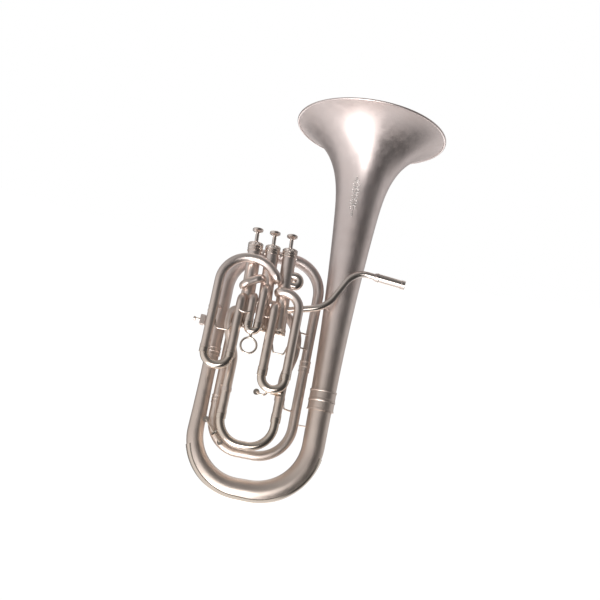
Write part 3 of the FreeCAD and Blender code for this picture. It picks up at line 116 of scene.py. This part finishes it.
def new_material(name):
    material = bpy.data.materials.new(name)
    material.use_nodes = True
    return material, Graph(material.node_tree)


def surface(graph, **inputs):
    shader = graph.add("ShaderNodeBsdfPrincipled", **inputs)
    graph.add("ShaderNodeOutputMaterial", Surface=shader)


# --- metals -------------------------------------------------------------------------------------

SILVER = (0.80, 0.71, 0.69)
DRAWN_SILVER = (0.87, 0.775, 0.74)
BRIGHT_SILVER = (0.86, 0.775, 0.73)
NICKEL = (0.70, 0.64, 0.55)
PISTON_ALLOY = (0.62, 0.60, 0.58)
STEEL = (0.46, 0.46, 0.47)
FRESH_CUT = (0.93, 0.90, 0.88)
CLOUD_SCALE = 14.0
MOTTLE_SCALE = 90.0
SCRATCH_SCALE = 2600.0
GRAIN_SCALE = 3800.0
LINES_PER_METRE = 9000.0
LINE_HEIGHT = 0.12
GRAIN_DEPTH = 0.00004
LINE_DEPTH = 0.0003
# the next two: how far the painted shade in corners reaches, and how much it darkens the colour
CORNER_REACH = 0.006
CORNER_SHADE_STRENGTH = 0.32
# the next two: the heights over which the painted warm light fades in towards the foot, and its
# tint
WARM_BELOW = (0.44, 0.10)
WARM_LIGHT_TINT = (1.0, 0.975, 0.90)
WHITE = (1.0, 1.0, 1.0)
CAP_PITCH = 0.0255
CAP_X = BELL_X - 0.0803
CAP_Y = -0.028
CAP_Z = 0.236
CAP_LEAN = math.radians(2.7)
KNURLS = 46.0
KNURL_RISE = 4300.0
KNURL_BANDS = ((0.0055, 0.0089), (0.1237, 0.1278))
KNURL_EDGE = 0.0003


def silver(name, colour, roughness, grain, tarnish, lines=None):
    """Plated metal: a hazy tarnish at random, painted shade that darkens the colour in corners, a
    painted warm light that tints the colour towards the foot of the horn, fine grain, and hairline
    scratches."""
    material, graph = new_material(name)
    here = graph.place()
    cloud = graph.noise(here, CLOUD_SCALE, 4.0)
    mottle = graph.noise(here, MOTTLE_SCALE, 3.0)
    patina = graph.math("MULTIPLY", graph.ramp(cloud, 0.40, 0.72), tarnish)
    # painted shade: ambient occlusion darkens the colour in corners and crevices, and roughens it a
    # little
    corner = graph.add("ShaderNodeAmbientOcclusion", 1, {"samples": 6}, Distance=CORNER_REACH)
    painted_corner_shade = graph.math("MULTIPLY", graph.ramp(corner, 0.85, 0.25), CORNER_SHADE_STRENGTH)
    # the random tarnish and the painted corner shade, whichever is stronger, darken the colour
    tarnish_and_corner_shade = graph.math("MAXIMUM", patina, painted_corner_shade)
    warm = graph.mix(graph.math("MULTIPLY", mottle, 0.10), rgba(colour),
                     rgba((colour[0], colour[1] * 0.93, colour[2] * 0.86)))
    # painted warm light: the colour turns warmer towards the bottom of the horn
    low = graph.ramp(graph.split(here)[2], *WARM_BELOW)
    painted_warm_light = graph.mix(low, rgba(WHITE), rgba(WARM_LIGHT_TINT))
    warm = graph.mix(1.0, warm, painted_warm_light, "MULTIPLY")
    dark = rgba((colour[0] * 0.62, colour[1] * 0.55, colour[2] * 0.50))
    tint = graph.mix(tarnish_and_corner_shade, warm, dark)
    rough = graph.math("ADD", graph.ramp(mottle, 0.3, 0.7, roughness * 0.9, roughness * 1.12),
                       graph.math("MULTIPLY", tarnish_and_corner_shade, 0.10))
    stretched = graph.vector("MULTIPLY", here, (1.0, 1.0, 0.06))
    scratches = graph.noise(stretched, SCRATCH_SCALE, 2.0)
    fine = graph.noise(here, GRAIN_SCALE, 2.0)
    height = graph.math("ADD", graph.math("MULTIPLY", fine, 0.6),
                        graph.math("MULTIPLY", scratches, 0.4))
    bump = graph.add("ShaderNodeBump", Strength=grain, Distance=GRAIN_DEPTH, Height=height)
    if lines is not None:
        bump = graph.add("ShaderNodeBump", Strength=0.5, Distance=LINE_DEPTH,
                         Height=lines(graph, here), Normal=bump)
    surface(graph, Base_Color=tint, Metallic=1.0, Roughness=rough, Normal=bump)
    return material


def knurling(graph, here):
    """Diagonal knurls around the three valve axes, inside the band between the caps' beads."""
    x, y, z = graph.split(here)
    rise = graph.math("SUBTRACT", z, CAP_Z)
    straight = graph.math("ADD", x, graph.math("MULTIPLY", rise, math.tan(CAP_LEAN)))
    from_first = graph.math("SUBTRACT", straight, CAP_X + CAP_PITCH / 2)
    across = graph.math("SUBTRACT", graph.math("FLOORED_MODULO", from_first, CAP_PITCH),
                        CAP_PITCH / 2)
    turn = graph.math("ARCTAN2", graph.math("SUBTRACT", y, CAP_Y), across)
    teeth = graph.math("MULTIPLY", turn, KNURLS)
    pitch = graph.math("MULTIPLY", rise, KNURL_RISE)
    one = graph.math("SINE", graph.math("ADD", teeth, pitch))
    other = graph.math("SINE", graph.math("SUBTRACT", teeth, pitch))
    height = graph.math("SUBTRACT", rise, graph.math("MULTIPLY", across, math.tan(CAP_LEAN)))
    bands = [graph.math("MULTIPLY", graph.ramp(height, low, low + KNURL_EDGE),
                        graph.ramp(height, high, high - KNURL_EDGE))
             for low, high in KNURL_BANDS]
    return graph.math("MULTIPLY", graph.math("MAXIMUM", one, other), graph.math("ADD", *bands))


def turned_lines(graph, here):
    """The fine rings that a lathe leaves on a slide leg."""
    rise = graph.math("MULTIPLY", graph.split(here)[2], LINES_PER_METRE)
    return graph.math("MULTIPLY", graph.math("SINE", rise), LINE_HEIGHT)


MATERIALS = {
    "satin_silver": silver("satin_silver", SILVER, 0.40, 0.30, 0.20),
    "polished_silver": silver("polished_silver", BRIGHT_SILVER, 0.13, 0.06, 0.16),
    "bare_nickel_brass": silver("bare_nickel_brass", NICKEL, 0.20, 0.10, 0.12, turned_lines),
    "piston_metal": silver("piston_metal", PISTON_ALLOY, 0.24, 0.12, 0.10, turned_lines),
    "spring_steel": silver("spring_steel", STEEL, 0.28, 0.10, 0.10),
}
KNURLED = silver("knurled_silver", BRIGHT_SILVER, 0.18, 0.08, 0.25, knurling)
DRAWN = silver("drawn_silver", DRAWN_SILVER, 0.32, 0.18, 0.20)
FINISHES = {"top_caps": KNURLED, "bottom_caps": KNURLED}
for drawn in ("first_slide_tubes", "second_slide_tubes", "third_slide_tubes", "tuning_sleeves",
              "valve_outlet_tube", "compensating_cross_tube", "valve_knuckles", "slide_ferrules",
              "valve_casing_1", "valve_casing_2", "valve_casing_3"):
    FINISHES[drawn] = DRAWN
ENGRAVED = silver("engraved_silver", FRESH_CUT, 0.22, 0.05, 0.05)


FELT_FIBRE, FELT_CLUMP = 2400.0, 500.0
CORK_CELL, CORK_SPECK = 1400.0, 700.0
SOFT_DEPTH = 0.0002


def felt():
    material, graph = new_material("felt")
    here = graph.place()
    fibres = graph.noise(here, FELT_FIBRE, 6.0, 0.75)
    clumps = graph.noise(here, FELT_CLUMP, 3.0)
    tint = graph.mix(fibres, rgba((0.42, 0.37, 0.28)), rgba((0.68, 0.63, 0.52)))
    tint = graph.mix(graph.ramp(clumps, 0.45, 0.7), tint, rgba((0.52, 0.46, 0.35)))
    bump = graph.add("ShaderNodeBump", Strength=0.8, Distance=SOFT_DEPTH, Height=fibres)
    surface(graph, Base_Color=tint, Roughness=0.95, Sheen_Weight=0.5, Normal=bump)
    return material


def cork():
    material, graph = new_material("cork")
    here = graph.place()
    cells = graph.add("ShaderNodeTexVoronoi", 0, Vector=here, Scale=CORK_CELL)
    specks = graph.noise(here, CORK_SPECK, 4.0)
    tint = graph.mix(graph.ramp(cells, 0.1, 0.6), rgba((0.34, 0.20, 0.10)),
                     rgba((0.62, 0.42, 0.24)))
    tint = graph.mix(graph.ramp(specks, 0.58, 0.66), tint, rgba((0.16, 0.08, 0.04)))
    bump = graph.add("ShaderNodeBump", Strength=0.6, Distance=SOFT_DEPTH, Height=cells)
    surface(graph, Base_Color=tint, Roughness=0.85, Normal=bump)
    return material


MATERIALS["felt"] = felt()
MATERIALS["cork"] = cork()

for entry in frame["record"]["subparts"]:
    slots = nodes[entry["node"]].data.materials
    slots.clear()
    slots.append(FINISHES.get(entry["node"], MATERIALS[entry["material_slot"]]))


# --- the ornament engraved on the bell ----------------------------------------------------------

ORNAMENT_HEIGHT = 0.463
ORNAMENT_TURN = math.radians(-15.0)
ORNAMENT_LINE = 0.00042
ORNAMENT_HALF = 0.024
SCROLL_ROWS = (-0.017, -0.0085, 0.0, 0.0085, 0.017)
BELL_RADIUS_THERE = 0.036
OUTSIDE_REACH = 0.2
bell_tree = BVHTree.FromPolygons([v.co for v in nodes["bell"].data.vertices],
                                 [p.vertices for p in nodes["bell"].data.polygons])


def on_bell(across, up):
    """The point of the bell's outside that lies this far across and above the ornament's middle."""
    height = ORNAMENT_HEIGHT + up
    turn = ORNAMENT_TURN + across / BELL_RADIUS_THERE
    outward = Vector((math.sin(turn), -math.cos(turn), 0.0))
    start = Vector((BELL_X, 0.0, height)) + outward * OUTSIDE_REACH
    return bell_tree.ray_cast(start, -outward)[0]


def scroll(centre, radius, turns, side, start_angle):
    """A volute that winds in to its eye."""
    steps = int(26 * turns)
    points = []
    for step in range(steps + 1):
        part = step / steps
        angle = start_angle + side * 2 * math.pi * turns * part
        reach = radius * (1 - 0.86 * part)
        points.append((centre[0] + reach * math.cos(angle), centre[1] + reach * math.sin(angle)))
    return points


def leaf(root, angle, length, width):
    """A pointed leaf outline with its midrib."""
    along = (math.cos(angle), math.sin(angle))
    side = (-along[1], along[0])
    outline = []
    steps = 10
    for sign in (1, -1):
        run = range(steps + 1) if sign > 0 else range(steps - 1, -1, -1)
        for step in run:
            part = step / steps
            swell = sign * width * math.sin(math.pi * part) * (1 - 0.35 * part)
            outline.append((root[0] + along[0] * length * part + side[0] * swell,
                            root[1] + along[1] * length * part + side[1] * swell))
    rib = [(root[0] + along[0] * length * part, root[1] + along[1] * length * part)
           for part in (0.05, 0.3, 0.6, 0.85)]
    return [outline, rib]


def engraving():
    """Scrolls and leaves on a waving stem, mirrored about its middle."""
    lines = []
    half = ORNAMENT_HALF
    steps = 32
    wave = 0.0011
    stem = [(wave * math.sin(step * math.pi / 8), -half + 2 * half * step / steps)
            for step in range(steps + 1)]
    lines.append(stem)
    for row, height in enumerate(SCROLL_ROWS):
        size = 0.0030 if row % 2 else 0.0024
        for side in (1, -1):
            centre = (side * (size + 0.0012), height)
            facing = math.pi if side > 0 else 0.0
            lines.append(scroll(centre, size, 1.6, -side, facing))
            root = (side * 0.0006, height + 0.0035)
            lines += leaf(root, math.pi / 2 - side * 0.75, 0.0048, 0.0011)
    lines += leaf((0.0, half - 0.001), math.pi / 2, 0.0075, 0.0016)
    lines += leaf((0.0, -half + 0.001), -math.pi / 2, 0.0075, 0.0016)
    curve = bpy.data.curves.new("bell_engraving", "CURVE")
    curve.dimensions = "3D"
    curve.bevel_depth = ORNAMENT_LINE
    curve.bevel_resolution = 1
    for line in lines:
        spline = curve.splines.new("POLY")
        spline.points.add(len(line) - 1)
        for point, (across, up) in zip(spline.points, line):
            point.co = on_bell(across, up).to_4d()
    piece = bpy.data.objects.new("bell_engraving", curve)
    curve.materials.append(ENGRAVED)
    scene.collection.objects.link(piece)
    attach(piece, "horn")


engraving()


# --- the valve springs --------------------------------------------------------------------------


def shortening_spring(number):
    """The coil below a piston: a copy of the part with a mesh of its own, fixed to the horn."""
    node = nodes["valve_spring_%d" % number]
    piece = bpy.data.objects.new("valve_spring_coil_%d" % number, node.data.copy())
    scene.collection.objects.link(piece)
    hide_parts(node.name)
    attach(piece, "horn")
    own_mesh(piece)


for spring in (1, 2, 3):
    shortening_spring(spring)


# --- studio -------------------------------------------------------------------------------------

FLOOR_Z = -0.55
FLOOR_RINGS = ((2.0, 0.0), (5.0, 0.0), (7.0, 0.3), (8.4, 1.4), (9.0, 3.4))
FLOOR_STEPS = 64
FLOOR_GLOW = 1.06


def floor():
    """A plain pale floor that curves up far behind the horn."""
    count = FLOOR_STEPS
    points = [(0.0, 0.0, FLOOR_Z)]
    for radius, rise in FLOOR_RINGS:
        for step in range(count):
            turn = 2 * math.pi * step / count
            points.append((radius * math.cos(turn), radius * math.sin(turn),
                           FLOOR_Z + rise))
    faces = [(0, 1 + step, 1 + (step + 1) % count) for step in range(count)]
    for ring in range(len(FLOOR_RINGS) - 1):
        low, high = 1 + ring * count, 1 + (ring + 1) * count
        for step in range(count):
            after = (step + 1) % count
            faces.append((low + step, high + step, high + after, low + after))
    mesh = bpy.data.meshes.new("floor")
    mesh.from_pydata(points, [], faces)
    for polygon in mesh.polygons:
        polygon.use_smooth = True
    piece = bpy.data.objects.new("floor", mesh)
    material, graph = new_material("floor_paper")
    here = graph.place()
    speck = graph.noise(here, 60.0, 4.0)
    tint = graph.mix(graph.math("MULTIPLY", speck, 0.03), rgba(WHITE), rgba((0.9, 0.9, 0.9)))
    glow = graph.add("ShaderNodeEmission", Color=tint, Strength=FLOOR_GLOW)
    paper = graph.add("ShaderNodeBsdfDiffuse", Color=tint)
    seen = graph.add("ShaderNodeMixShader", i0=0.96, i1=paper, i2=glow)
    graph.add("ShaderNodeOutputMaterial", Surface=seen)
    mesh.materials.append(material)
    scene.collection.objects.link(piece)
    piece.visible_glossy = False
    piece.visible_diffuse = False
    piece.visible_shadow = False


floor()


ROOM_TINT = (1.0, 0.985, 0.975)
ROOM_LIGHT = 0.76
CEILING_LIGHT = 0.36
# each patch of the room: its direction, the angles in degrees where it is full and has faded, and
# how bright it is there
LOBES = (
    ((0.70, -1.0, 0.20), 12.0, 72.0, 0.09),
    ((0.66, -0.60, -0.58), 20.0, 54.0, 0.05),
    ((0.80, 0.30, -0.50), 8.0, 34.0, 0.06),
    ((0.10, 0.60, 0.80), 6.0, 36.0, 0.9),
    ((-0.62, 0.78, 0.05), 10.0, 44.0, 0.22),
    ((0.30, 0.90, 0.30), 6.0, 30.0, 0.34),
    ((-0.05, 0.93, -0.36), 5.0, 18.0, 2.2),
    ((-0.34, -0.36, -0.87), 7.0, 22.0, 6.0),
    ((-0.16, -0.72, -0.67), 5.0, 18.0, 4.0),
    ((-0.05, -0.90, -0.42), 5.0, 17.0, 4.2),
)


def studio():
    """Soft light from all round, with dark and bright patches that the metal mirrors."""
    world = bpy.data.worlds.new("studio")
    scene.world = world
    world.use_nodes = True
    graph = Graph(world.node_tree)
    way = graph.vector("NORMALIZE", graph.ray())
    value = graph.ramp(graph.split(way)[2], -0.2, 0.9, ROOM_LIGHT, CEILING_LIGHT)
    for direction, near, far, target in LOBES:
        toward = graph.vector("DOT_PRODUCT", way, tuple(Vector(direction).normalized()), out=1)
        share = graph.ramp(toward, math.cos(math.radians(far)), math.cos(math.radians(near)))
        value = graph.add("ShaderNodeMix", 0, {"data_type": "FLOAT"}, i0=share, i2=value,
                          i3=target)
    room = graph.add("ShaderNodeBackground", Color=rgba(ROOM_TINT), Strength=value)
    white = graph.add("ShaderNodeBackground", Color=rgba(WHITE), Strength=1.0)
    camera_ray = graph.add("ShaderNodeLightPath", 0)
    seen = graph.add("ShaderNodeMixShader", i0=camera_ray, i1=room, i2=white)
    graph.add("ShaderNodeOutputWorld", Surface=seen)


studio()


# --- camera -------------------------------------------------------------------------------------

EYE = Vector((BELL_X - 0.0586, -1.3521, -0.0215))
ELEVATION = math.radians(13.40)
ROLL = math.radians(11.07)
LENS = 56.61
SENSOR = 36.0
FAR_CLIP = 40.0


def camera():
    ahead = Vector((0.0, math.cos(ELEVATION), math.sin(ELEVATION)))
    level_right = Vector((1.0, 0.0, 0.0))
    level_up = level_right.cross(ahead)
    right = level_right * math.cos(ROLL) + level_up * math.sin(ROLL)
    up = level_up * math.cos(ROLL) - level_right * math.sin(ROLL)
    data = bpy.data.cameras.new("camera")
    data.lens = LENS
    data.sensor_width = SENSOR
    data.clip_end = FAR_CLIP
    eye = bpy.data.objects.new("camera", data)
    turn = Matrix((right, up, -ahead)).transposed()
    eye.matrix_world = Matrix.Translation(EYE) @ turn.to_4x4()
    scene.collection.objects.link(eye)
    scene.camera = eye


camera()
scene.view_settings.view_transform = "Standard"
scene.view_settings.look = "None"
